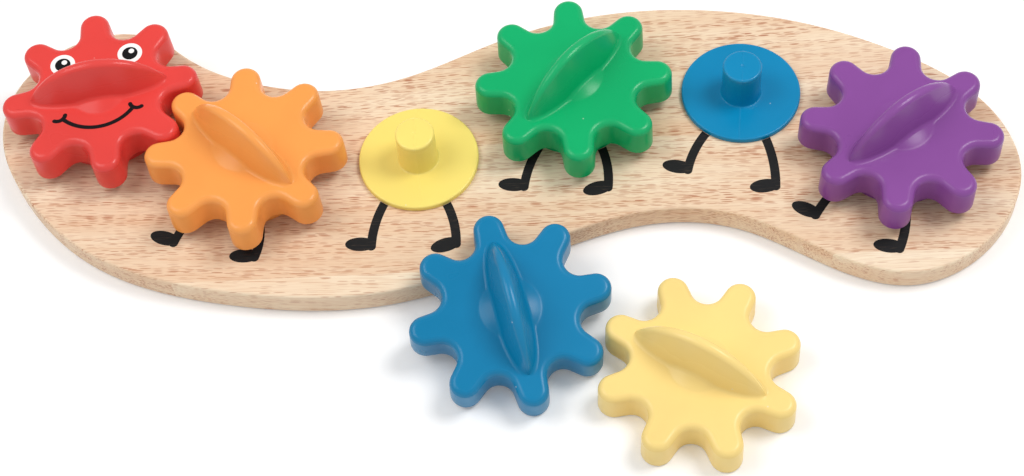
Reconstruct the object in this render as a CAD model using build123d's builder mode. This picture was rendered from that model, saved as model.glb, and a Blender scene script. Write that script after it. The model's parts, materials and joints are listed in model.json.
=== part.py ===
from build123d import *
import os
from math import acos, asin, atan2, cos, degrees, hypot, radians, sin

# A wooden gear board: six hubs stand in a wavy row on a board glued up from staves,
# and six finned gears lift on and off the hubs and turn by their fins.
# Two of the six gears lie loose in front of the board, one of them leaning on its edge.
# Frame: origin at the middle of the board's underside, +X along the grain, +Z up.

# ---- driving dimensions, millimetres and degrees ----

# board
board_thickness = 12.5
board_edge_round = 1.2
front_stave_width = 10.9
back_stave_width = 8.0

# row of hubs: the first hub, the gap from a tooth's tip to the root of the gear it meshes with,
# and the way to each next hub
first_hub_x = -181.8
first_hub_y = 26.5
mesh_gap = 1.9
link_headings = (-27.4, 2.4, 20.4, 1.4, -28.4)
hub_names = ("red", "orange", "yellow", "green", "blue", "purple")

# rim of the board: the hub that a point is measured from and its bearing, then its distance
rim_reaches = {
    ("red", 55): 46.9,
    ("red", 92): 49.0,
    ("red", 149): 49.4,
    ("red", 190): 50.5,
    ("red", 230): 54.7,
    ("red", 265): 72.1,
    ("orange", 262): 62.2,
    ("yellow", 262): 68.2,
    ("green", 266): 69.0,
    ("green", 300): 68.2,
    ("blue", 265): 65.9,
    ("purple", 235): 61.5,
    ("purple", 270): 62.1,
    ("purple", 310): 58.4,
    ("purple", 350): 55.2,
    ("purple", 30): 50.5,
    ("purple", 83): 57.4,
    ("blue", 47): 52.9,
    ("blue", 88): 47.9,
    ("green", 82): 51.4,
    ("green", 134): 53.3,
    ("yellow", 95): 48.4,
    ("orange", 57): 54.0,
    ("orange", 87): 50.0,
}

# hub: a disc with a peg, moulded in one
disc_radius = 27.3
disc_thickness = 2.6
disc_edge_round = 0.8
peg_radius = 8.8
peg_foot_radius = 9.2
peg_height = 21.7
peg_land_below_gear = 0.6
peg_top_round = 1.0

# screw and washer under each hub, sunk in the board
screw_radius = 1.9
screw_length = 24.0
screw_tip_bevel = 1.1
pilot_spare_depth = 1.0
screw_hole_clearance = 0.3
thread_clearance = 0.05
screw_head_radius = 3.6
screw_head_height = 2.4
drive_slot_width = 1.0
drive_slot_depth = 1.1
drive_slot_reach = 2.2
washer_radius = 4.4
washer_thickness = 0.8
counterbore_clearance = 0.5
counterbore_depth = 4.6

# gear: face, eight round teeth, skirt, socket and fin
tooth_count = 8
gear_tip_radius = 44.6
gear_root_radius = 30.1
tooth_round = 6.7
valley_round = 7.1
skirt_height = 15.5
skirt_flare = 0.3
gear_wall = 2.2
face_edge_round = 3.0
gear_seat_height = 6.9
socket_clearance = 0.25
socket_wall = 2.1
socket_lead_in = 0.6
dome_radius = 13.4
dome_rise = 2.8
fin_length = 62.4
fin_rise = 20.0
fin_foot_width = 14.6
fin_crest_width = 4.4
fin_end_solid = 6.6

# how the four seated gears stand, by the bearing of their fins
red_fin_bearing = 9.1
green_fin_bearing = 46.7
purple_fin_bearing = 35.4

# the two loose gears
yellow_spot = (82.8, -117.2)
yellow_fin_bearing = -31.3
blue_spot = (3.1, -87.8)
blue_fin_bearing = 103.2
blue_uphill_bearing = 102.2
blue_axis_to_board_edge = 26.4
lean_gap = 0.1

# printed legs: the left and the right leg of each pair, by bearings and distances from the hub
print_thickness = 0.1
leg_width = 4.1
leg_bow = 1.2
foot_length = 13.6
foot_width = 7.0
foot_set = 4.9
foot_lift = 1.2
bow_sides = (-1, 1)
hip_bearings = {
    "orange": (218.5, 280.5),
    "yellow": (235.5, 297.5),
    "green": (233.0, 295.0),
    "blue": (230.5, 290.3),
    "purple": (209.5, 271.5),
}
heel_bearings = {
    "orange": (226.8, 274.7),
    "yellow": (245.0, 290.3),
    "green": (241.0, 286.2),
    "blue": (236.5, 282.8),
    "purple": (218.2, 264.5),
}
heel_reaches = {
    "orange": (48.3, 44.8),
    "yellow": (49.5, 48.5),
    "green": (50.2, 48.1),
    "blue": (48.8, 52.8),
    "purple": (50.4, 50.6),
}
foot_bearings = {
    "orange": (160.0, 179.0),
    "yellow": (177.0, 196.0),
    "green": (174.5, 193.5),
    "blue": (167.0, 186.0),
    "purple": (151.0, 170.0),
}

# printed face on the red gear, in the gear's own frame with the fin along x
eye_spread = 15.5
eye_up = 17.3
eye_radius = 5.7
pupil_radius = 3.6
glint_radius = 1.3
glint_shift = (0.8, 1.2)
smile_middle_x = -1.2
smile_half_width = 16.0
smile_end_y = -13.4
smile_low_y = -20.9
smile_line = 1.9
tick_out = (-3.8, -0.3)
tick_in = (1.2, 2.0)

# ---- worked out from them ----

skirt_draft = degrees(atan2(skirt_flare, skirt_height))
board_top = board_thickness
seat_level = board_top + gear_seat_height
socket_radius = peg_radius + socket_clearance
socket_outer_radius = socket_radius + socket_wall
socket_depth = peg_height - gear_seat_height
peg_land_start = gear_seat_height - peg_land_below_gear
counterbore_radius = washer_radius + counterbore_clearance
washer_hole_radius = screw_radius + screw_hole_clearance
screw_head_base = counterbore_depth - washer_thickness
pilot_depth = screw_head_base + screw_length - board_top + pilot_spare_depth

hub_spacing = gear_root_radius + mesh_gap + gear_tip_radius
hubs = [(first_hub_x, first_hub_y)]
for heading in link_headings:
    last_x, last_y = hubs[-1]
    next_x = last_x + hub_spacing * cos(radians(heading))
    next_y = last_y + hub_spacing * sin(radians(heading))
    hubs.append((next_x, next_y))


def from_hub(name, bearing, reach):
    """The point at a bearing and a distance from one hub."""
    x, y = hubs[hub_names.index(name)]
    return (x + reach * cos(radians(bearing)), y + reach * sin(radians(bearing)))


def upright(x, y, z, bearing):
    """A level plane at a point, with its x turned to a bearing."""
    return Plane(origin=(x, y, z), x_dir=(cos(radians(bearing)), sin(radians(bearing)), 0))


def arc_middle(centre, radius, start, end):
    """The point half way round an arc about a centre, between two angles in radians."""
    half = (start + end) / 2
    return (centre[0] + radius * cos(half), centre[1] + radius * sin(half))


def toothed_ring(inset):
    """Closed line of round teeth and round valleys joined by short straight flanks."""
    tip_r = tooth_round - inset
    valley_r = valley_round + inset
    tip_reach = gear_tip_radius - tooth_round
    valley_reach = gear_root_radius + valley_round
    half_pitch = radians(180 / tooth_count)
    # the tangent flank between a tooth's round end and the valley beside it
    gap_x = valley_reach * cos(half_pitch) - tip_reach
    gap_y = valley_reach * sin(half_pitch)
    gap = hypot(gap_x, gap_y)
    flank = atan2(gap_y, gap_x) - acos((tip_r + valley_r) / gap)
    for tooth in range(tooth_count):
        at = 2 * half_pitch * tooth
        tip = (tip_reach * cos(at), tip_reach * sin(at))
        valley = (valley_reach * cos(at + half_pitch), valley_reach * sin(at + half_pitch))
        rise = at - flank
        fall = at + flank
        leave = fall + radians(180)
        arrive = at + 2 * half_pitch - flank + radians(180)
        a = (tip[0] + tip_r * cos(rise), tip[1] + tip_r * sin(rise))
        b = (tip[0] + tip_r * cos(fall), tip[1] + tip_r * sin(fall))
        c = (valley[0] + valley_r * cos(leave), valley[1] + valley_r * sin(leave))
        d = (valley[0] + valley_r * cos(arrive), valley[1] + valley_r * sin(arrive))
        next_at = at + 2 * half_pitch
        next_tip = (tip_reach * cos(next_at), tip_reach * sin(next_at))
        e = (next_tip[0] + tip_r * cos(next_at - flank), next_tip[1] + tip_r * sin(next_at - flank))
        ThreePointArc(a, arc_middle(tip, tip_r, rise, fall), b)
        Line(b, c)
        ThreePointArc(c, arc_middle(valley, valley_r, leave, arrive), d)
        Line(d, e)


def lens(length, width):
    """Closed line of two shallow arcs that meet at the ends of the fin."""
    ThreePointArc((-length / 2, 0), (0, -width / 2), (length / 2, 0))
    ThreePointArc((length / 2, 0), (0, width / 2), (-length / 2, 0))


# ---- board: one blank, cut into its staves ----

rim_points = [from_hub(name, bearing, reach) for (name, bearing), reach in rim_reaches.items()]

with BuildPart() as board_blank:
    with BuildSketch(Plane.XY):
        with BuildLine():
            Spline(*rim_points, periodic=True)
        make_face()
    extrude(amount=board_thickness)
    fillet(board_blank.edges().filter_by(Plane.XY), radius=board_edge_round)
    with BuildSketch(Plane.XY):
        with Locations(*hubs):
            Circle(washer_hole_radius)
    extrude(amount=board_thickness, mode=Mode.SUBTRACT)
    with BuildSketch(Plane.XY):
        with Locations(*hubs):
            Circle(counterbore_radius)
    extrude(amount=counterbore_depth, mode=Mode.SUBTRACT)

board_box = board_blank.part.bounding_box()
front_glue_line_y = board_box.min.Y + front_stave_width
back_glue_line_y = board_box.max.Y - back_stave_width
middle_glue_line_y = (front_glue_line_y + back_glue_line_y) / 2
# stave: its front and back limits, and its left and right limits
staves = {
    "stave_front_left": (board_box.min.Y, front_glue_line_y, board_box.min.X, 0),
    "stave_front_right": (board_box.min.Y, front_glue_line_y, 0, board_box.max.X),
    "stave_mid_front": (front_glue_line_y, middle_glue_line_y, board_box.min.X, board_box.max.X),
    "stave_mid_back": (middle_glue_line_y, back_glue_line_y, board_box.min.X, board_box.max.X),
    "stave_back_left": (back_glue_line_y, board_box.max.Y, board_box.min.X, 0),
    "stave_back_right": (back_glue_line_y, board_box.max.Y, 0, board_box.max.X),
}

made = []
for stave_name, (front, back, left, right) in staves.items():
    with BuildPart() as stave:
        with BuildSketch(Plane.XY):
            with Locations(((left + right) / 2, (front + back) / 2)):
                Rectangle(right - left, back - front)
        extrude(amount=board_thickness)
        add(board_blank.part, mode=Mode.INTERSECT)
    stave.part.label = stave_name
    made.append(stave.part)

# ---- hubs with their screws and washers ----

for (hub_x, hub_y), colour in zip(hubs, hub_names):
    hub_plane = upright(hub_x, hub_y, board_top, 0)
    section_plane = Plane(origin=hub_plane.origin, x_dir=(1, 0, 0), z_dir=(0, -1, 0))
    hub_axis = Axis(hub_plane.origin, (0, 0, 1))

    with BuildPart() as hub:
        with BuildSketch(section_plane):
            with BuildLine():
                Polyline(
                    (0, 0),
                    (disc_radius, 0),
                    (disc_radius, disc_thickness),
                    (peg_foot_radius, disc_thickness),
                    (peg_radius, peg_land_start),
                    (peg_radius, peg_height),
                    (0, peg_height),
                    close=True,
                )
            make_face()
        revolve(axis=hub_axis)
        rims = hub.edges().filter_by(GeomType.CIRCLE)
        disc_rim = rims.filter_by_position(Axis.Z, board_top + disc_thickness, board_top + disc_thickness)
        fillet(disc_rim.sort_by(SortBy.RADIUS)[-1], radius=disc_edge_round)
        fillet(hub.edges().filter_by(GeomType.CIRCLE).sort_by(Axis.Z)[-1], radius=peg_top_round)
        with BuildSketch(hub_plane):
            Circle(screw_radius + thread_clearance)
        extrude(amount=pilot_depth, mode=Mode.SUBTRACT)
    hub.part.label = "hub_" + colour
    made.append(hub.part)

    head_plane = upright(hub_x, hub_y, screw_head_base, 0)
    with BuildPart() as screw:
        with BuildSketch(head_plane):
            Circle(screw_radius)
        extrude(amount=screw_length)
        chamfer(screw.edges().sort_by(Axis.Z)[-1], length=screw_tip_bevel)
        with BuildSketch(head_plane):
            Circle(screw_head_radius)
        extrude(amount=-screw_head_height)
        fillet(screw.edges().sort_by(Axis.Z)[0], radius=screw_head_height / 2)
        with BuildSketch(head_plane.offset(-screw_head_height)):
            Rectangle(2 * screw_head_radius, drive_slot_width)
            Rectangle(drive_slot_width, 2 * screw_head_radius)
            Circle(drive_slot_reach, mode=Mode.INTERSECT)
        extrude(amount=drive_slot_depth, mode=Mode.SUBTRACT)
    screw.part.label = "screw_" + colour
    made.append(screw.part)

    with BuildPart() as washer:
        with BuildSketch(head_plane):
            Circle(washer_radius)
            Circle(washer_hole_radius, mode=Mode.SUBTRACT)
        extrude(amount=washer_thickness)
    washer.part.label = "washer_" + colour
    made.append(washer.part)

# ---- one gear in its own frame: skirt bottom at z 0, fin along x ----

side_plane = Plane(origin=(0, 0, skirt_height), x_dir=(1, 0, 0), z_dir=(0, -1, 0))
fin_taper = degrees(atan2((fin_foot_width - fin_crest_width) / 2, fin_rise))


def fin_arch(length, rise):
    """Closed line of the fin seen from its side: an arc over a straight foot."""
    ThreePointArc((-length / 2, 0), (0, rise), (length / 2, 0))
    Line((length / 2, 0), (-length / 2, 0))


with BuildPart() as fin_form:
    with BuildSketch(Plane.XY.offset(skirt_height)):
        with BuildLine():
            lens(fin_length, fin_foot_width)
        make_face()
    extrude(amount=fin_rise, taper=fin_taper)
    with BuildSketch(side_plane):
        with BuildLine():
            fin_arch(fin_length, fin_rise)
        make_face()
    extrude(amount=fin_foot_width, both=True, mode=Mode.INTERSECT)

with BuildPart() as fin_core:
    with BuildSketch(Plane.XY.offset(skirt_height - gear_wall)):
        with BuildLine():
            lens(fin_length - 2 * fin_end_solid, fin_foot_width - 2 * gear_wall)
        make_face()
    extrude(amount=fin_rise, taper=fin_taper)
    with BuildSketch(side_plane):
        with BuildLine():
            fin_arch(fin_length - 2 * gear_wall, fin_rise - gear_wall)
        make_face()
        with Locations((0, -gear_wall)):
            Rectangle(fin_length, 2 * gear_wall)
    extrude(amount=fin_foot_width, both=True, mode=Mode.INTERSECT)
    with BuildSketch(Plane.XY):
        Circle(socket_outer_radius)
    extrude(amount=skirt_height + fin_rise, mode=Mode.SUBTRACT)

with BuildPart() as gear_form:
    with BuildSketch(Plane.XY):
        with BuildLine():
            toothed_ring(-skirt_flare)
        make_face()
    extrude(amount=skirt_height, taper=skirt_draft)
    fillet(gear_form.edges().group_by(Axis.Z)[-1], radius=face_edge_round)
    with BuildSketch(side_plane):
        with BuildLine():
            dome_arc = ThreePointArc((-dome_radius, 0), (0, dome_rise), (dome_radius, 0))
            Line(dome_arc @ 1, dome_arc @ 0)
        make_face()
        with Locations((-dome_radius / 2, dome_rise / 2)):
            Rectangle(dome_radius, dome_rise, mode=Mode.SUBTRACT)
    revolve(axis=Axis.Z)
    add(fin_form.part)
    with BuildSketch(Plane.XY):
        with BuildLine():
            toothed_ring(gear_wall - skirt_flare)
        make_face()
    extrude(amount=skirt_height - gear_wall, taper=skirt_draft, mode=Mode.SUBTRACT)
    add(fin_core.part, mode=Mode.SUBTRACT)
    with BuildSketch(Plane.XY):
        Circle(socket_outer_radius)
    extrude(amount=skirt_height)
    with BuildSketch(Plane.XY):
        Circle(socket_radius)
    extrude(amount=socket_depth, mode=Mode.SUBTRACT)
    mouth = gear_form.edges().filter_by(GeomType.CIRCLE).group_by(Axis.Z)[0]
    chamfer(mouth.sort_by(SortBy.RADIUS)[0], length=socket_lead_in)

# ---- the six gears in their places ----

# the orange gear meshes with the red one: its valley faces the red tooth across their centre line
orange_fin_bearing = 180 + 2 * link_headings[0] - red_fin_bearing + 180 / tooth_count

# the blue gear leans: one tooth stands on the table and the skirt lies on the board's edge
blue_tilt = degrees(asin((board_thickness + lean_gap) / (gear_tip_radius + blue_axis_to_board_edge)))
downhill = radians(blue_uphill_bearing + 180)
lean_drop = sin(radians(blue_tilt)) * (gear_tip_radius + skirt_flare)
blue_axis = Vector(
    sin(radians(blue_tilt)) * cos(downhill),
    sin(radians(blue_tilt)) * sin(downhill),
    cos(radians(blue_tilt)),
)
fin_way = Vector(cos(radians(blue_fin_bearing)), sin(radians(blue_fin_bearing)), 0)
blue_fin_way = fin_way - blue_axis * fin_way.dot(blue_axis)

gear_seats = {
    "red": upright(*hubs[0], seat_level, red_fin_bearing),
    "orange": upright(*hubs[1], seat_level, orange_fin_bearing),
    "yellow": upright(*yellow_spot, 0, yellow_fin_bearing),
    "green": upright(*hubs[3], seat_level, green_fin_bearing),
    "blue": Plane(origin=(*blue_spot, lean_drop), x_dir=blue_fin_way, z_dir=blue_axis),
    "purple": upright(*hubs[5], seat_level, purple_fin_bearing),
}

for colour, seat in gear_seats.items():
    with BuildPart() as gear:
        with Locations(seat.location):
            add(gear_form.part)
    gear.part.label = "gear_" + colour
    made.append(gear.part)

# ---- printed legs on the board ----


def shin_line(hip_bearing, heel_bearing, heel_reach, bow_side):
    """The bowed middle line of a printed leg, from the edge of the disc to the heel."""
    hip = Vector(disc_radius, 0).rotate(Axis.Z, hip_bearing)
    heel = Vector(heel_reach, 0).rotate(Axis.Z, heel_bearing)
    across = (heel - hip).normalized().rotate(Axis.Z, 90)
    return ThreePointArc(hip, (hip + heel) / 2 + across * (bow_side * leg_bow), heel)


for colour, hips in hip_bearings.items():
    hub_x, hub_y = hubs[hub_names.index(colour)]
    legs_apart = zip(hips, heel_bearings[colour], heel_reaches[colour], bow_sides)
    shins = [shin_line(hip, heel, reach, side) for hip, heel, reach, side in legs_apart]
    with BuildPart() as legs:
        with BuildSketch(upright(hub_x, hub_y, board_top, 0)):
            for shin, foot_bearing in zip(shins, foot_bearings[colour]):
                foot_root = (shin @ 1) - (shin % 1) * foot_lift
                foot_middle = foot_root + Vector(foot_set, 0).rotate(Axis.Z, foot_bearing)
                SlotArc(shin, leg_width)
                with Locations(Location(foot_middle, (0, 0, foot_bearing))):
                    Ellipse(foot_length / 2, foot_width / 2)
            Circle(disc_radius + print_thickness, mode=Mode.SUBTRACT)
        extrude(amount=print_thickness)
    legs.part.label = "legs_" + colour
    made.append(legs.part)

# ---- printed face on the red gear ----

face_plane = gear_seats["red"].offset(skirt_height)
eyes = ((-eye_spread, eye_up), (eye_spread, eye_up))
glints = [(x + glint_shift[0], y + glint_shift[1]) for x, y in eyes]

with BuildPart() as eye_whites:
    with BuildSketch(face_plane):
        with Locations(*eyes):
            Circle(eye_radius)
            Circle(pupil_radius, mode=Mode.SUBTRACT)
    extrude(amount=print_thickness)
eye_whites.part.label = "eye_whites"
made.append(eye_whites.part)

with BuildPart() as pupils:
    with BuildSketch(face_plane):
        with Locations(*eyes):
            Circle(pupil_radius)
        with Locations(*glints):
            Circle(glint_radius, mode=Mode.SUBTRACT)
    extrude(amount=print_thickness)
pupils.part.label = "pupils"
made.append(pupils.part)

with BuildPart() as eye_glints:
    with BuildSketch(face_plane):
        with Locations(*glints):
            Circle(glint_radius)
    extrude(amount=print_thickness)
eye_glints.part.label = "eye_glints"
made.append(eye_glints.part)

smile_left_x = smile_middle_x - smile_half_width
smile_right_x = smile_middle_x + smile_half_width
smile_ends = ((smile_left_x, smile_end_y), (smile_right_x, smile_end_y))
smile_lines = [ThreePointArc(smile_ends[0], (smile_middle_x, smile_low_y), smile_ends[1])]
for side, (end_x, end_y) in zip((1, -1), smile_ends):
    outer = (end_x + side * tick_out[0], end_y + tick_out[1])
    inner = (end_x + side * tick_in[0], end_y + tick_in[1])
    smile_lines.append(ThreePointArc(outer, (end_x, end_y), inner))

with BuildPart() as smile:
    with BuildSketch(face_plane):
        for line in smile_lines:
            SlotArc(line, smile_line)
    extrude(amount=print_thickness)
smile.part.label = "smile"
made.append(smile.part)

# ---- one file for each piece ----

os.makedirs("parts", exist_ok=True)
for piece in made:
    export_step(piece, "parts/" + piece.label + ".step")

print("board", round(board_box.size.X, 1), "by", round(board_box.size.Y, 1))
print("blue gear leans", round(blue_tilt, 2), "degrees; pieces", len(made))
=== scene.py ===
import json
from math import pi, radians

import bmesh
import bpy
import numpy as np
from mathutils import Matrix, Vector


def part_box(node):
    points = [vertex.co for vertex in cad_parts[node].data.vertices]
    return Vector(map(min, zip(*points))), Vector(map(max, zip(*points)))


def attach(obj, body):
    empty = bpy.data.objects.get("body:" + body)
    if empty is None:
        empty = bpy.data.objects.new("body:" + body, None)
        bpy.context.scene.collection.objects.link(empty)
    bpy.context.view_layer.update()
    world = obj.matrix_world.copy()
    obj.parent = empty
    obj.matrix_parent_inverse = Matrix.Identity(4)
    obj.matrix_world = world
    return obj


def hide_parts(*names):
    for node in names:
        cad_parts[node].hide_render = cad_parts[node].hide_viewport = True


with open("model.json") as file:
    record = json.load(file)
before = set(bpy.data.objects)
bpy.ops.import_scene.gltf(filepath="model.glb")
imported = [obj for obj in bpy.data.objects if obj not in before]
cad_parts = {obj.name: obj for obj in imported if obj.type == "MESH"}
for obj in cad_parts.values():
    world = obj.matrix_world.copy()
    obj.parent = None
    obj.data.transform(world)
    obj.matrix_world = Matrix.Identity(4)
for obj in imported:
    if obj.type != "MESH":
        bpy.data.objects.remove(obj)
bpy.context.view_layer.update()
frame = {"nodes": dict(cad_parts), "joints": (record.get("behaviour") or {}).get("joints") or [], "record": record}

scene = bpy.context.scene
mm = 0.001
joints = {joint["name"]: joint for joint in frame["joints"]}
mounts = {mount["name"]: mount for mount in frame["record"]["mounts"]}
colourNames = ("red", "orange", "yellow", "green", "blue", "purple")


def fromScreen(red, green, blue):
    # a colour as it looks on a screen, 0 to 255, turned into the linear one that shaders use
    shares = np.array((red, green, blue)) / 255
    linear = np.where(shares <= 0.04045, shares / 12.92, ((shares + 0.055) / 1.055) ** 2.4)
    return (*(float(share) for share in linear), 1.0)


def put(tree, kind, sockets=None, **settings):
    # adds a shader node, sets its options, and fills or links its sockets
    node = tree.nodes.new("ShaderNode" + kind)
    for option, value in settings.items():
        setattr(node, option, value)
    for socket, value in (sockets or {}).items():
        if isinstance(value, bpy.types.NodeSocket):
            tree.links.new(value, node.inputs[socket])
        else:
            node.inputs[socket].default_value = value
    return node


def newMaterial(name):
    material = bpy.data.materials.new(name)
    material.use_nodes = True
    material.node_tree.nodes.clear()
    return material, material.node_tree


def finishShader(tree, sockets):
    shader = put(tree, "BsdfPrincipled", sockets)
    put(tree, "OutputMaterial", {"Surface": shader.outputs[0]})
    return shader


def mixColours(tree, share, first, second, blend="MIX"):
    node = put(tree, "Mix", {0: share, 6: first, 7: second}, data_type="RGBA", blend_type=blend)
    return node.outputs[2]


def spread(tree, value, lowIn, highIn, lowOut, highOut, smooth=False):
    node = put(tree, "MapRange", {0: value, 1: lowIn, 2: highIn, 3: lowOut, 4: highOut})
    node.interpolation_type = "SMOOTHSTEP" if smooth else "LINEAR"
    return node.outputs[0]


def times(tree, first, second):
    return put(tree, "Math", {0: first, 1: second}, operation="MULTIPLY").outputs[0]


def stretched(tree, vector, scale):
    return put(tree, "Mapping", {"Vector": vector, "Scale": scale}).outputs[0]


def stretchedNoise(tree, vector, scale, detail, roughness=0.5):
    # cloudy noise drawn out by a different scale along each axis
    place = stretched(tree, vector, scale)
    return put(tree, "TexNoise", {"Vector": place, "Scale": 1.0, "Detail": detail, "Roughness": roughness})


woodLook = {
    "cream": fromScreen(248, 230, 202),
    "tan": fromScreen(233, 198, 164),
    "vessel": fromScreen(178, 106, 70),
    "needle": fromScreen(204, 148, 110),
    "fibre": fromScreen(220, 178, 140),
    "swayScale": (5, 14, 14),
    "swayReach": (0, 0.012, 0.012),
    "bandScale": (2.4, 46, 46),
    "streakScale": (5, 240, 240),
    "grainScale": (44, 1900, 1900),
    "vesselScale": (150, 1850, 1850),
    "needleScale": (40, 2100, 2100),
    "needleShare": 0.60,
    "needleStrength": 0.60,
    "vesselStrength": 0.85,
    "fibreStrength": 0.40,
    "dashReach": 0.50,
    "dashBlur": 0.18,
    "poreDepth": 0.00012,
}


def boardWood(name, shift, turn, warmth, vesselShare):
    # pale glued staves: slow bands and finer streaks along the grain, hair-fine fibres, long needles and
    # short brown vessels
    look = woodLook
    material, tree = newMaterial(name)
    place = put(tree, "TexCoord").outputs["Object"]
    placed = put(tree, "Mapping", {"Vector": place, "Location": shift, "Rotation": (0, 0, turn)}).outputs[0]
    sway = stretchedNoise(tree, placed, look["swayScale"], 1.0)
    swayed = put(tree, "VectorMath", {0: sway.outputs["Color"], 1: (-0.5, -0.5, -0.5)}).outputs[0]
    swayed = put(tree, "VectorMath", {0: swayed, 1: look["swayReach"], 2: placed}, operation="MULTIPLY_ADD")
    grainWay = swayed.outputs[0]

    band = stretchedNoise(tree, grainWay, look["bandScale"], 3.0, 0.55).outputs[0]
    streak = stretchedNoise(tree, grainWay, look["streakScale"], 3.0, 0.6).outputs[0]
    grain = stretchedNoise(tree, grainWay, look["grainScale"], 2.0).outputs[0]
    bandShare = spread(tree, band, 0.36, 0.66, 0.0, 0.85)
    bandShare = put(tree, "Math", {0: streak, 1: 0.5, 2: bandShare}, operation="MULTIPLY_ADD").outputs[0]
    bandShare = put(tree, "Math", {0: bandShare, 1: warmth}, operation="ADD", use_clamp=True).outputs[0]
    colour = mixColours(tree, bandShare, look["cream"], look["tan"])
    fibreShare = spread(tree, grain, 0.42, 0.72, 0.0, look["fibreStrength"])
    colour = mixColours(tree, fibreShare, colour, look["fibre"])

    # needles and vessels: long cells, each drawn as a dash if its lot is low, and crowded into the streaks
    reach = look["dashReach"]
    crowd = spread(tree, streak, 0.36, 0.62, 0.20, 1.0)
    marks = []
    for scale, share in ((look["needleScale"], look["needleShare"]), (look["vesselScale"], vesselShare)):
        cells = put(tree, "TexVoronoi", {"Vector": stretched(tree, grainWay, scale), "Scale": 1.0})
        dash = spread(tree, cells.outputs["Distance"], reach, reach - look["dashBlur"], 0.0, 1.0, smooth=True)
        lot = put(tree, "SeparateColor", {0: cells.outputs["Color"]})
        kept = spread(tree, lot.outputs[0], share, share - 0.25, 0.0, 1.0)
        marks.append(times(tree, times(tree, dash, kept), crowd))
    needles, vessels = marks
    colour = mixColours(tree, times(tree, needles, look["needleStrength"]), colour, look["needle"])
    colour = mixColours(tree, times(tree, vessels, look["vesselStrength"]), colour, look["vessel"])

    pores = put(tree, "Math", {0: vessels, 1: 0.5, 2: spread(tree, grain, 0, 1, 0.25, 0)},
                operation="MULTIPLY_ADD").outputs[0]
    bump = put(tree, "Bump", {"Height": pores, "Strength": 0.35, "Distance": look["poreDepth"]}, invert=True)
    finishShader(tree, {
        "Base Color": colour,
        "Roughness": spread(tree, band, 0.3, 0.7, 0.50, 0.62),
        "Normal": bump.outputs[0],
        "Specular IOR Level": 0.30,
    })
    return material


plasticLook = {
    "red": fromScreen(232, 70, 64),
    "orange": fromScreen(252, 165, 82),
    "yellow": fromScreen(253, 230, 122),
    "palerYellow": fromScreen(254, 223, 140),
    "green": fromScreen(0, 176, 106),
    "blue": fromScreen(0, 136, 186),
    "deeperBlue": fromScreen(0, 127, 175),
    "purple": fromScreen(138, 76, 154),
    "dust": fromScreen(240, 236, 226),
    "cloudScale": 24.0,
    "grainScale": 2400.0,
    "speckScale": 210.0,
    "speckShare": 0.035,
    # how much paler the marked edges are painted: partly wear, partly a painted highlight
    "wearAndHighlightTint": 0.12,
    "rubbedShine": 0.08,
}


def mouldedPlastic(name, colour):
    # satin plastic: clouded tint, fine moulded grain, marked edges worn glossier and painted paler as wear and
    # painted highlight, a few pale dust specks
    look = plasticLook
    material, tree = newMaterial(name)
    place = put(tree, "TexCoord").outputs["Object"]
    cloud = put(tree, "TexNoise", {"Vector": place, "Scale": look["cloudScale"], "Detail": 3.0}).outputs[0]
    grain = put(tree, "TexNoise", {"Vector": place, "Scale": look["grainScale"], "Detail": 1.0}).outputs[0]
    wearAndHighlight = put(tree, "Attribute", attribute_name="wearAndHighlight").outputs["Fac"]
    darker = tuple(share * 0.93 for share in colour[:3]) + (1.0,)
    paler = tuple(share * 0.90 + 0.10 for share in colour[:3]) + (1.0,)
    tint = mixColours(tree, spread(tree, cloud, 0.35, 0.65, 0.0, 1.0), darker, colour)
    # marked edges painted paler: partly wear, partly a painted highlight on the round edges
    tint = mixColours(tree, times(tree, wearAndHighlight, look["wearAndHighlightTint"]), tint, paler)
    specks = put(tree, "TexVoronoi", {"Vector": place, "Scale": look["speckScale"]})
    dot = spread(tree, specks.outputs["Distance"], 0.10, 0.03, 0.0, 1.0)
    lot = put(tree, "SeparateColor", {0: specks.outputs["Color"]})
    kept = spread(tree, lot.outputs[0], look["speckShare"], look["speckShare"] - 0.005, 0.0, 1.0)
    tint = mixColours(tree, times(tree, times(tree, dot, kept), 0.7), tint, look["dust"])
    matt = spread(tree, cloud, 0.3, 0.7, 0.27, 0.34)
    matt = put(tree, "Math", {0: wearAndHighlight, 1: -look["rubbedShine"], 2: matt}, operation="MULTIPLY_ADD").outputs[0]
    bump = put(tree, "Bump", {"Height": grain, "Strength": 0.10, "Distance": 0.00005})
    finishShader(tree, {
        "Base Color": tint,
        "Roughness": matt,
        "Normal": bump.outputs[0],
        "Specular IOR Level": 0.26,
    })
    return material


inkLook = {
    # colour, what shows through where it is worn, how far it is worn
    "legInk": (fromScreen(30, 30, 31), fromScreen(96, 80, 66), 0.5),
    "blackInk": (fromScreen(14, 15, 18), fromScreen(60, 22, 22), 0.3),
    "whiteInk": (fromScreen(250, 250, 248), fromScreen(240, 222, 216), 0.3),
}


def printedInk(name):
    # ink film: slightly uneven cover, with the surface below showing through in fine marks along the grain
    colour, showThrough, share = inkLook[name]
    material, tree = newMaterial(name)
    place = put(tree, "TexCoord").outputs["Object"]
    cover = stretchedNoise(tree, place, (160, 2200, 2200), 2.0).outputs[0]
    cloud = put(tree, "TexNoise", {"Vector": place, "Scale": 320.0, "Detail": 2.0}).outputs[0]
    worn = times(tree, spread(tree, cover, 0.60, 0.80, 0.0, 1.0), share)
    tint = mixColours(tree, worn, colour, showThrough)
    bump = put(tree, "Bump", {"Height": cover, "Strength": 0.15, "Distance": 0.00005})
    finishShader(tree, {
        "Base Color": tint,
        "Roughness": spread(tree, cloud, 0.3, 0.7, 0.50, 0.64),
        "Normal": bump.outputs[0],
        "Specular IOR Level": 0.15,
    })
    return material


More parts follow.
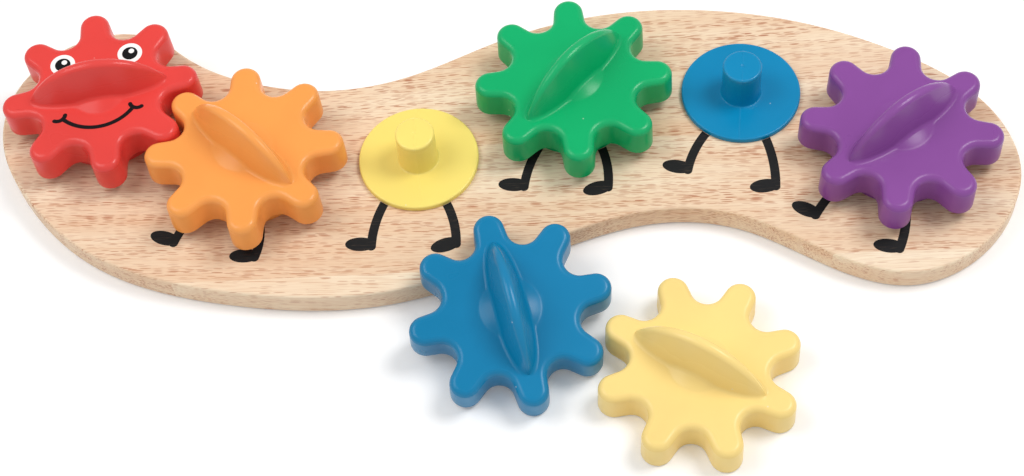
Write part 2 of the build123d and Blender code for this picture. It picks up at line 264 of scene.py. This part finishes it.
def zincSteel(name):
    # zinc plated screws and washers: grey spangle with a fine bump
    material, tree = newMaterial(name)
    place = put(tree, "TexCoord").outputs["Object"]
    spangle = put(tree, "TexNoise", {"Vector": place, "Scale": 900.0, "Detail": 3.0}).outputs[0]
    finishShader(tree, {
        "Base Color": mixColours(tree, spangle, fromScreen(150, 152, 156), fromScreen(208, 208, 204)),
        "Roughness": spread(tree, spangle, 0.3, 0.7, 0.28, 0.46),
        "Metallic": 1.0,
        "Normal": put(tree, "Bump", {"Height": spangle, "Strength": 0.2, "Distance": 0.00005}).outputs[0],
    })
    return material


def tubeOfRings(name, rings, poles=(), wearAndHighlight=None, weld=False, creaseAngle=38):
    # rings is an array of closed rings (ring, point, xyz) in millimetres, each joined to the next by quads;
    # a pole closes the first or the last ring with a fan of triangles
    ringCount, pointCount = rings.shape[:2]
    points = rings.reshape(-1, 3)
    index = np.arange(ringCount * pointCount).reshape(ringCount, pointCount)
    following = np.roll(index, -1, axis=1)
    quads = np.stack((index[:-1], index[1:], following[1:], following[:-1]), axis=-1).reshape(-1, 4)
    faces = quads.tolist()
    wearAndHighlightShares = np.zeros(len(points)) if wearAndHighlight is None else np.broadcast_to(wearAndHighlight, rings.shape[:2]).reshape(-1)
    for end, pole in poles:
        points = np.vstack((points, pole))
        wearAndHighlightShares = np.append(wearAndHighlightShares, wearAndHighlightShares[index[end, 0]])
        centre = np.full(pointCount, len(points) - 1)
        if end == 0:
            fan = np.stack((centre, index[0], following[0]), axis=-1)
        else:
            fan = np.stack((centre, following[-1], index[-1]), axis=-1)
        faces += fan.tolist()
    mesh = bpy.data.meshes.new(name)
    mesh.from_pydata((points * mm).tolist(), [], faces)
    # each point's share of the paler tint and lower roughness: wear on handled edges and a painted highlight
    wearAndHighlightLayer = mesh.attributes.new("wearAndHighlight", "FLOAT", "POINT")
    wearAndHighlightLayer.data.foreach_set("value", wearAndHighlightShares.astype(np.float32))
    if weld:
        shell = bmesh.new()
        shell.from_mesh(mesh)
        bmesh.ops.remove_doubles(shell, verts=shell.verts, dist=2e-7)
        bmesh.ops.dissolve_degenerate(shell, edges=shell.edges, dist=1e-8)
        shell.to_mesh(mesh)
        shell.free()
    mesh.shade_smooth()
    mesh.set_sharp_from_angle(angle=radians(creaseAngle))
    piece = bpy.data.objects.new(name, mesh)
    scene.collection.objects.link(piece)
    return piece


def joinPieces(name, parts, place):
    # several shells become one piece, put in its place by moving its points
    mesh = bpy.data.meshes.new(name)
    whole = bmesh.new()
    for part in parts:
        whole.from_mesh(part.data)
    whole.to_mesh(mesh)
    whole.free()
    mesh.transform(place)
    joined = bpy.data.objects.new(name, mesh)
    scene.collection.objects.link(joined)
    for part in parts:
        bpy.data.objects.remove(part)
    return joined


gearShape = {
    "toothCount": 8,
    "tipRadius": 44.6,
    "rootRadius": 30.1,
    "toothRound": 6.7,
    "valleyRound": 7.1,
    "skirtHeight": 15.5,
    "skirtFlare": 0.3,
    "wall": 2.2,
    "faceRound": 3.0,
    "rimRound": 0.35,
    "ceilingEase": 0.6,
    "innerRimEase": 0.2,
    "socketRadius": 9.05,
    "socketWall": 2.1,
    "socketDepth": 14.8,
    "socketLeadIn": 0.6,
    "socketRootEase": 0.5,
    "socketTipEase": 0.3,
    "socketRoofEase": 0.4,
    "domeRadius": 13.4,
    "domeRise": 2.8,
    "domeFillet": 0.35,
    "domeFilletRise": 0.055,
    "finLength": 62.4,
    "finRise": 20.0,
    "finFootWidth": 14.6,
    "finCrestWidth": 4.4,
    "finLensLength": 90.0,
    "finFootFillet": 1.8,
    "finCrestRound": 1.5,
    "finCrown": 0.5,
    "finNoseSharpness": 7,
    "finRoot": 1.0,
    "finFootSink": 0.03,
}


def toothedOutline(samplesOnTip=22, samplesOnValley=18, samplesOnFlank=3):
    # round teeth and round valleys joined by tangent flanks, as points and their outward normals. The
    # centre of tooth k's round end is at tipReach and angle k * 2 * half, the next valley's is at
    # valleyReach and half further on
    g = gearShape
    tipReach = g["tipRadius"] - g["toothRound"]
    valleyReach = g["rootRadius"] + g["valleyRound"]
    half = pi / g["toothCount"]
    across = np.array((valleyReach * np.cos(half) - tipReach, valleyReach * np.sin(half)))
    bothRounds = g["toothRound"] + g["valleyRound"]
    flank = np.arctan2(across[1], across[0]) - np.arccos(bothRounds / np.hypot(*across))

    tipAngles = np.linspace(-flank, flank, samplesOnTip)
    tipNormals = np.stack((np.cos(tipAngles), np.sin(tipAngles)), axis=-1)
    tipPoints = np.array((tipReach, 0)) + g["toothRound"] * tipNormals
    valleyCentre = valleyReach * np.array((np.cos(half), np.sin(half)))
    valleyAngles = np.linspace(flank, 2 * half - flank, samplesOnValley)
    valleyNormals = np.stack((np.cos(valleyAngles), np.sin(valleyAngles)), axis=-1)
    valleyPoints = valleyCentre - g["valleyRound"] * valleyNormals
    steps = np.linspace(0, 1, samplesOnFlank + 2)[1:-1, None]
    down = tipPoints[-1] + steps * (valleyPoints[0] - tipPoints[-1])
    turned = np.array(((np.cos(2 * half), np.sin(2 * half)), (-np.sin(2 * half), np.cos(2 * half))))
    up = valleyPoints[-1] + steps * (tipPoints[0] @ turned - valleyPoints[-1])
    onePoints = np.vstack((tipPoints, down, valleyPoints, up))
    downNormals = np.repeat(tipNormals[-1:], samplesOnFlank, axis=0)
    upNormals = np.repeat(valleyNormals[-1:], samplesOnFlank, axis=0)
    oneNormals = np.vstack((tipNormals, downNormals, valleyNormals, upNormals))

    turns = 2 * half * np.arange(g["toothCount"])
    spin = np.stack((np.cos(turns), np.sin(turns), -np.sin(turns), np.cos(turns)), axis=-1).reshape(-1, 2, 2)
    points = np.einsum("pi,tij->tpj", onePoints, spin).reshape(-1, 2)
    normals = np.einsum("pi,tij->tpj", oneNormals, spin).reshape(-1, 2)
    return points, normals


def domeHeight(reach):
    # height of the low dome over the face at a distance from the axis: a cap of a sphere
    g = gearShape
    ball = (g["domeRadius"] ** 2 + g["domeRise"] ** 2) / (2 * g["domeRise"])
    inside = np.minimum(reach, g["domeRadius"])
    return np.sqrt(ball ** 2 - inside ** 2) - (ball - g["domeRise"])


def gearShell():
    # the shell as one grid, (ring, sample round the outline): over the dome and the face, round the edge,
    # down the skirt, back up inside it, over the ceiling, down the socket tube and up its bore
    g = gearShape
    outline, normals = toothedOutline()
    bearing = np.arctan2(outline[:, 1], outline[:, 0])
    compass = np.stack((np.cos(bearing), np.sin(bearing)), axis=-1)
    high = g["skirtHeight"]
    rings = []
    wearAndHighlightShares = []

    def addRing(flat, z, wearAndHighlight=0.0):
        rings.append(np.column_stack((flat, np.full(len(flat), z))))
        wearAndHighlightShares.append(wearAndHighlight)

    def insetAt(z):
        return -g["skirtFlare"] * (1 - z / high)

    for reach in (0.8, 2, 4, 6, 8, 10, 11.5, 12.6, g["domeRadius"] - g["domeFillet"]):
        addRing(compass * reach, high + domeHeight(reach))
    addRing(compass * g["domeRadius"], high + g["domeFilletRise"])
    flatStart = compass * (g["domeRadius"] + g["domeFillet"])
    addRing(flatStart, high)
    flatEdge = outline - g["faceRound"] * normals
    for share in (0.06, 0.2, 0.4, 0.6, 0.8, 0.93, 1.0):
        addRing(flatStart * (1 - share) + flatEdge * share, high)
    # the face's round edge is marked for a paler tint and lower roughness: wear and a painted highlight
    for angle in np.linspace(0, pi / 2, 11)[1:]:
        inset = g["faceRound"] * (1 - np.sin(angle))
        z = high - g["faceRound"] * (1 - np.cos(angle))
        addRing(outline - (inset + insetAt(z) * np.sin(angle)) * normals, z, wearAndHighlight=np.sin(2 * angle))
    for z in (9.0, 5.0, g["rimRound"]):
        addRing(outline - insetAt(z) * normals, z)
    for angle in (30, 60, 90):
        bend = radians(angle)
        inset = g["rimRound"] * (1 - np.cos(bend)) - g["skirtFlare"]
        addRing(outline - inset * normals, g["rimRound"] * (1 - np.sin(bend)))
    ceiling = high - g["wall"]
    rimEase = g["innerRimEase"]
    for z, easing in ((0.0, rimEase), (rimEase, 0.0), (6.0, 0.0), (ceiling - g["ceilingEase"], 0.0)):
        addRing(outline - (g["wall"] + insetAt(z) - easing) * normals, z)
    wallEdge = outline - (g["wall"] + g["ceilingEase"]) * normals
    addRing(wallEdge, ceiling)
    bore = g["socketRadius"]
    tube = bore + g["socketWall"]
    for share in (0.35, 0.7, 1.0):
        addRing(wallEdge * (1 - share) + compass * (tube + g["socketRootEase"]) * share, ceiling)
    for reach, z in ((tube, ceiling - g["socketRootEase"]), (tube, g["socketTipEase"]),
                     (tube - g["socketTipEase"], 0.0), (bore + g["socketLeadIn"], 0.0),
                     (bore, g["socketLeadIn"]), (bore, g["socketDepth"] - g["socketRoofEase"]),
                     (bore - g["socketRoofEase"], g["socketDepth"])):
        addRing(compass * reach, z)
    top = (0, 0, high + g["domeRise"])
    roof = (0, 0, g["socketDepth"])
    return tubeOfRings("shell", np.array(rings), ((0, top), (-1, roof)), np.array(wearAndHighlightShares)[:, None])


def curveCorner(before, corner, after, share):
    # a corner rounded by a parabola: the points before, at and after it, weighted by (1 - s)^2, 2s(1 - s), s^2
    s = share[None, :, None]
    return (1 - s) ** 2 * before[:, None] + 2 * s * (1 - s) * corner[:, None] + s ** 2 * after[:, None]


def finShell(stations=97, cornerSteps=9):
    # the fin as a grid, (station along it, point round its section). Its side view is an arc of a circle and
    # its foot a lens with rounded noses: half width = full half width * (1 - (2x / lens length)^2) *
    # sqrt(1 - |x / reach|^sharpness). Walls lean in to a crowned crest, and a small fillet runs out on
    # the face
    g = gearShape
    reach = g["finLength"] / 2
    x = reach * np.sin(np.linspace(-pi / 2, pi / 2, stations))
    arc = (reach ** 2 + g["finRise"] ** 2) / (2 * g["finRise"])
    rise = np.sqrt(arc ** 2 - x ** 2) - (arc - g["finRise"])
    rise[[0, -1]] = 0
    nose = np.sqrt(np.maximum(1 - np.abs(x / reach) ** g["finNoseSharpness"], 0))
    lens = 1 - (2 * x / g["finLensLength"]) ** 2
    foot = g["finFootWidth"] / 2 * lens * nose
    crest = g["finCrestWidth"] / 2 * (rise / g["finRise"]) ** 0.8 * nose
    slope = np.gradient(foot, x)
    slope[[0, -1]] = (1e6, -1e6)
    sideways = np.stack((-slope, np.ones_like(slope)), axis=-1) / np.hypot(slope, 1)[:, None]

    # where the wall meets the face or the dome
    level = domeHeight(np.hypot(x, foot))
    level = np.minimum(level, 0.8 * rise)
    lean = (foot - crest) / np.maximum(rise, 1e-6)
    wallFoot = foot - lean * level
    share = np.linspace(0, 1, cornerSteps)
    sides = []
    for side in (-1, 1):
        base = np.column_stack((x, side * wallFoot, level))
        edge = np.column_stack((x, side * crest, rise - g["finCrown"] * rise / g["finRise"]))
        spine = np.column_stack((x, np.zeros_like(x), rise))
        out = base + g["finFootFillet"] * np.column_stack((sideways[:, 0], side * sideways[:, 1], 0 * x))
        out[:, 2] = domeHeight(np.hypot(out[:, 0], out[:, 1])) - g["finFootSink"]
        wall = edge - base
        wallLength = np.maximum(np.linalg.norm(wall, axis=1), 1e-9)[:, None]
        footStep = np.minimum(g["finFootFillet"] / wallLength, 0.45)
        crestStep = np.minimum(g["finCrestRound"] / wallLength, 0.45)
        topLength = np.maximum(crest, 1e-9)[:, None]
        topStep = np.minimum(g["finCrestRound"] / topLength, 0.85)
        low = curveCorner(out, base, base + wall * footStep, share)
        tall = curveCorner(edge - wall * crestStep, edge, edge + (spine - edge) * topStep, share)
        root = out.copy()
        root[:, 2] = -g["finRoot"]
        half = np.concatenate((root[:, None], low, tall), axis=1)
        sides.append(half if side < 0 else half[:, ::-1])
    spinePoints = spine[:, None]
    section = np.concatenate((sides[0], spinePoints, sides[1]), axis=1)
    section[..., 2] += g["skirtHeight"]
    # the crest is worn glossy by fingers and painted paler as wear and painted highlight
    wearAndHighlight = np.zeros(section.shape[1])
    middle = section.shape[1] // 2
    wearAndHighlight[middle - cornerSteps:middle + cornerSteps + 1] = 0.9
    return tubeOfRings("fin", section, wearAndHighlight=wearAndHighlight[None, :], weld=True, creaseAngle=60)


def gearPlaces():
    # each gear stands on its joint, or where its socket's mount says, turned to its fin's bearing
    finBearing = {
        "red": 9.1,
        "orange": 137.0,
        "yellow": -31.3,
        "green": 46.7,
        "blue": 103.2,
        "purple": 35.4,
    }
    places = {}
    for colour, bearing in finBearing.items():
        up = Vector((0, 0, 1))
        if colour + "_spin" in joints:
            origin = Vector(joints[colour + "_spin"]["pos_m"])
        else:
            socket = mounts["socket_" + colour]
            up = -Vector(socket["axis"]).normalized()
            landing = gearShape["socketLeadIn"] + gearShape["socketDepth"]
            origin = Vector(socket["pos_m"]) - up * (landing / 2 * mm)
        along = Vector((np.cos(radians(bearing)), np.sin(radians(bearing)), 0))
        along = (along - up * along.dot(up)).normalized()
        turn = Matrix((along, up.cross(along), up)).transposed()
        places[colour] = Matrix.Translation(origin) @ turn.to_4x4()
    return places


plastics = {
    colour: mouldedPlastic("plastic" + colour.capitalize(), plasticLook[colour])
    for colour in colourNames
}
# the yellow gear is paler than the yellow hub, the blue gear deeper than the blue hub
gearPlastics = dict(
    plastics,
    yellow=mouldedPlastic("plasticPalerYellow", plasticLook["palerYellow"]),
    blue=mouldedPlastic("plasticDeeperBlue", plasticLook["deeperBlue"]),
)

for colour, place in gearPlaces().items():
    gear = joinPieces("gear_form_" + colour, (gearShell(), finShell()), place)
    gear.data.materials.append(gearPlastics[colour])
    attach(gear, colour + "_gear")
    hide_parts("gear_" + colour)
print("gears made")


hubShape = {
    "discRadius": 27.3,
    "discThickness": 2.6,
    "discRound": 0.8,
    "pegRadius": 8.8,
    "pegFootRadius": 9.2,
    "pegHeight": 21.7,
    "pegLand": 6.3,
    "pegRound": 1.0,
    "pilotRadius": 1.95,
    "pilotDepth": 16.3,
    "gateRadius": 0.55,
    "gateDepth": 0.25,
    "seamHeight": 0.09,
    "seamHalfWidth": 0.22,
    "seamBand": 7.0,
    "undersideRing": 14.0,
}


def hubForm(name, seamBearing):
    # the hub turned from its profile, (profile point, bearing). The moulding seam is a low ridge where the
    # surface crosses a plane through the axis: height * exp(-(distance from plane / half width)^2). The
    # bearings are closer together there
    h = hubShape
    rim = np.linspace(0, pi / 2, 7)
    rimReach = h["discRadius"] - h["discRound"] * (1 - np.sin(rim))
    rimLevel = h["discThickness"] - h["discRound"] * (1 - np.cos(rim))
    topReach = h["pegRadius"] - h["pegRound"] * (1 - np.sin(rim))
    topLevel = h["pegHeight"] - h["pegRound"] * (1 - np.cos(rim))
    footBend = np.array(((h["pegFootRadius"] - 0.05, h["discThickness"] + 0.7),
                         (h["pegFootRadius"] + 0.06, h["discThickness"] + 0.35),
                         (h["pegFootRadius"] + 0.3, h["discThickness"] + 0.08),
                         (h["pegFootRadius"] + 0.65, h["discThickness"])))
    outside = np.vstack((
        ((0.25, h["pegHeight"] - h["gateDepth"]), (h["gateRadius"], h["pegHeight"] - h["gateDepth"] * 0.6),
         (h["gateRadius"] + 0.2, h["pegHeight"])),
        np.column_stack((np.linspace(1.2, topReach[0] - 0.3, 7), np.full(7, h["pegHeight"]))),
        np.column_stack((topReach, topLevel)),
        np.column_stack((np.full(4, h["pegRadius"]), np.linspace(18, h["pegLand"], 4))),
        footBend,
        np.column_stack((np.linspace(12, rimReach[0] - 0.2, 8), np.full(8, h["discThickness"]))),
        np.column_stack((rimReach, rimLevel)),
        ((h["discRadius"], 0.3), (h["discRadius"] - 0.3, 0.0)),
    ))
    underneath = ((h["undersideRing"], 0.0), (h["pilotRadius"], 0.0), (h["pilotRadius"], h["pilotDepth"]))
    profile = np.vstack((outside, underneath))

    band = radians(h["seamBand"])
    nearSeam = np.linspace(-band, band, 57)
    away = np.linspace(band, pi - band, 44)[1:-1]
    bearings = np.concatenate((nearSeam, away, nearSeam + pi, away + pi)) + radians(seamBearing)
    steps = np.gradient(profile, axis=0)
    steps /= np.maximum(np.linalg.norm(steps, axis=1), 1e-9)[:, None]
    outward = np.column_stack((-steps[:, 1], steps[:, 0]))
    reach, level = profile[:, :1], profile[:, 1:]
    fromPlane = reach * np.sin(bearings - radians(seamBearing))
    ridge = h["seamHeight"] * np.exp(-(fromPlane / h["seamHalfWidth"]) ** 2)
    # it runs from the peg's top to the disc's rim
    shown = np.zeros((len(profile), 1))
    shown[4:len(outside) - 2] = 1
    ridge = ridge * shown
    wide = reach + ridge * outward[:, :1]
    tall = level + ridge * outward[:, 1:]
    tall = np.broadcast_to(tall, wide.shape)
    rings = np.stack((wide * np.cos(bearings), wide * np.sin(bearings), tall), axis=-1)
    # the round edges of the peg's top and of the disc are made glossier, and painted paler as a painted highlight
    wearAndHighlight = np.zeros(len(profile))
    wearAndHighlight[10:17] = 0.8
    wearAndHighlight[len(outside) - 9:len(outside) - 4] = 0.6
    poles = ((0, (0, 0, h["pegHeight"] - h["gateDepth"])), (-1, (0, 0, h["pilotDepth"])))
    return tubeOfRings(name, rings, poles, wearAndHighlight[:, None])


seamBearings = {"red": 90, "orange": 90, "yellow": 92, "green": 90, "blue": 83.5, "purple": 90}
for colour, seamBearing in seamBearings.items():
    low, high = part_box("hub_" + colour)
    middle = (low + high) / 2
    hub = hubForm("hub_turning_" + colour, seamBearing)
    hub.data.transform(Matrix.Translation((middle.x, middle.y, low.z)))
    hub.data.materials.append(plastics[colour])
    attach(hub, "board")
    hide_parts("hub_" + colour)
print("hubs made")


def coat(node, material):
    shown = frame["nodes"][node].data
    shown.materials.clear()
    shown.materials.append(material)


staveLooks = {
    # shift of the pattern, turn of the grain in degrees, warmth, share of cells that hold a vessel
    "stave_front_left": ((0.31, 0.17, 0.05), 1.5, -0.60, 0.34),
    "stave_front_right": ((0.93, 0.41, 0.11), -1.2, -0.45, 0.40),
    "stave_mid_front": ((0.12, 0.77, 0.19), 2.0, -0.08, 0.85),
    "stave_mid_back": ((0.57, 0.23, 0.31), -0.8, -0.02, 0.78),
    "stave_back_left": ((0.71, 0.59, 0.43), 1.0, 0.05, 0.70),
    "stave_back_right": ((0.27, 0.91, 0.37), -1.8, 0.10, 0.66),
}
for stave, (shift, turn, warmth, vesselShare) in staveLooks.items():
    coat(stave, boardWood(stave + "_wood", shift, radians(turn), warmth, vesselShare))

legInk = printedInk("legInk")
blackInk = printedInk("blackInk")
whiteInk = printedInk("whiteInk")
zinc = zincSteel("zinc")
for colour in colourNames:
    coat("screw_" + colour, zinc)
    coat("washer_" + colour, zinc)
    if colour != "red":
        coat("legs_" + colour, legInk)
for node in ("pupils", "smile"):
    coat(node, blackInk)
for node in ("eye_whites", "eye_glints"):
    coat(node, whiteInk)
print("solids coated")


floorLook = {
    "size": 9.0,
    "grey": 0.95,
    "lift": 0.09,
    "drop": 0.0004,
}


def paleFloor():
    look = floorLook
    half = look["size"] / 2
    mesh = bpy.data.meshes.new("floor")
    corners = ((-half, -half), (half, -half), (half, half), (-half, half))
    mesh.from_pydata([(x, y, -look["drop"]) for x, y in corners], [], [(0, 1, 2, 3)])
    floor = bpy.data.objects.new("floor", mesh)
    scene.collection.objects.link(floor)
    material, tree = newMaterial("floorPaper")
    paper = put(tree, "BsdfDiffuse", {"Color": (look["grey"],) * 3 + (1.0,)})
    # what the camera and shiny things see is lifted to white, and shadows stay
    light = put(tree, "LightPath")
    seen = light.outputs["Is Camera Ray"]
    for ray in ("Is Glossy Ray", "Is Transmission Ray"):
        seen = put(tree, "Math", {0: seen, 1: light.outputs[ray]}, operation="MAXIMUM").outputs[0]
    lift = put(tree, "Emission", {"Color": (1, 1, 1, 1), "Strength": times(tree, seen, look["lift"])})
    both = put(tree, "AddShader", {0: paper.outputs[0], 1: lift.outputs[0]})
    put(tree, "OutputMaterial", {"Surface": both.outputs[0]})
    mesh.materials.append(material)


lightLook = {
    "world": 0.50,
    # place and size in metres, power in watts; each points at the origin
    "rightBox": ((0.72, 0.16, 1.20), (0.52, 0.52), 8.6),
    "leftBox": ((-0.80, 0.02, 1.20), (0.8, 0.8), 6.8),
}


def worldLight(strength):
    world = bpy.data.worlds.new("studio")
    world.use_nodes = True
    scene.world = world
    tree = world.node_tree
    tree.nodes.clear()
    light = put(tree, "LightPath")
    power = spread(tree, light.outputs["Is Camera Ray"], 0, 1, strength, 1.0)
    sky = put(tree, "Background", {"Color": (1, 1, 1, 1), "Strength": power})
    put(tree, "OutputWorld", {"Surface": sky.outputs[0]})


def softBox(name):
    place, size, power = lightLook[name]
    lamp = bpy.data.lights.new(name, "AREA")
    lamp.shape = "RECTANGLE"
    lamp.size, lamp.size_y = size
    lamp.energy = power
    box = bpy.data.objects.new(name, lamp)
    box.location = place
    box.rotation_euler = (-Vector(place)).to_track_quat("-Z", "Y").to_euler()
    scene.collection.objects.link(box)


cameraSetting = {
    "place": (0.0396, -0.4924, 0.7380),
    "pitchDown": 58.594,
    "heading": 2.72,
    "roll": 4.891,
    "lens": 67.53,
    "shiftX": -0.0314,
}


def photoCamera():
    c = cameraSetting
    data = bpy.data.cameras.new("photoCamera")
    data.lens = c["lens"]
    data.sensor_width = 36
    data.shift_x = c["shiftX"]
    data.clip_start = 0.01
    camera = bpy.data.objects.new("photoCamera", data)
    turn = Matrix.Rotation(radians(c["heading"]), 4, "Z")
    turn = turn @ Matrix.Rotation(radians(90 - c["pitchDown"]), 4, "X")
    turn = turn @ Matrix.Rotation(radians(-c["roll"]), 4, "Z")
    camera.matrix_world = Matrix.Translation(c["place"]) @ turn
    scene.collection.objects.link(camera)
    scene.camera = camera


paleFloor()
worldLight(lightLook["world"])
softBox("rightBox")
softBox("leftBox")
photoCamera()
scene.view_settings.view_transform = "Standard"
print("stage, light and camera set")
